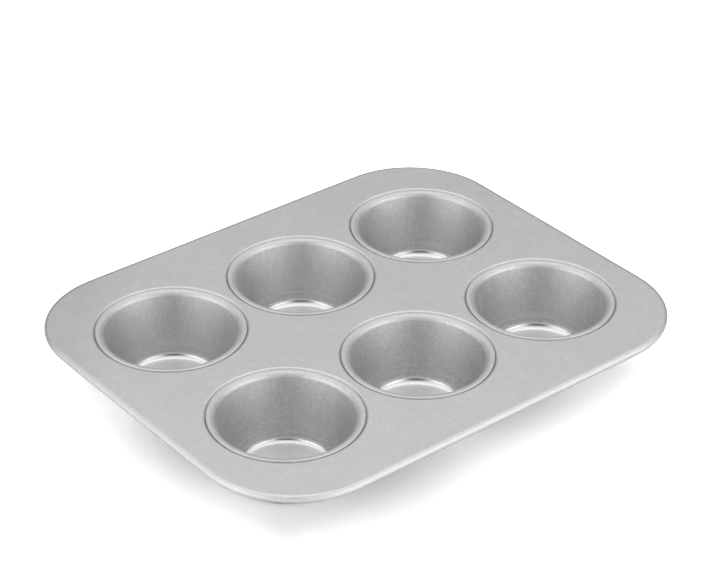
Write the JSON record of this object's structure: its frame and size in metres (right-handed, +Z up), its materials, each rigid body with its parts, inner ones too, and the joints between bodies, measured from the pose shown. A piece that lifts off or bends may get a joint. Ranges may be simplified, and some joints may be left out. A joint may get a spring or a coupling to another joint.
{
  "type": "muffin pan",
  "caption": "Sheet-steel muffin pan: a flat plate with rounded corners and a rolled, wired rim holds rows of deep tapered cups in lock seams.",
  "frame": {"origin": "on the table, under the middle of the pan", "axes": "+X along a row of cups, +Y across the rows towards the back, +Z up out of the cups' mouths"},
  "size_m": [0.357, 0.2884, 0.0452],
  "materials": {
    "plate": "aluminised sheet steel, matt to satin grey",
    "cups": "drawn aluminised sheet steel, grainy walls, glossier bottom",
    "wire": "galvanised steel wire, hidden in the rolled rim"
  },
  "bodies": {
    "root": {"pan_plate": "plate", "cup_front_left": "cups", "cup_front_middle": "cups", "cup_front_right": "cups", "cup_back_left": "cups", "cup_back_middle": "cups", "cup_back_right": "cups", "rim_wire": "wire"}
  },
  "joints": []
}
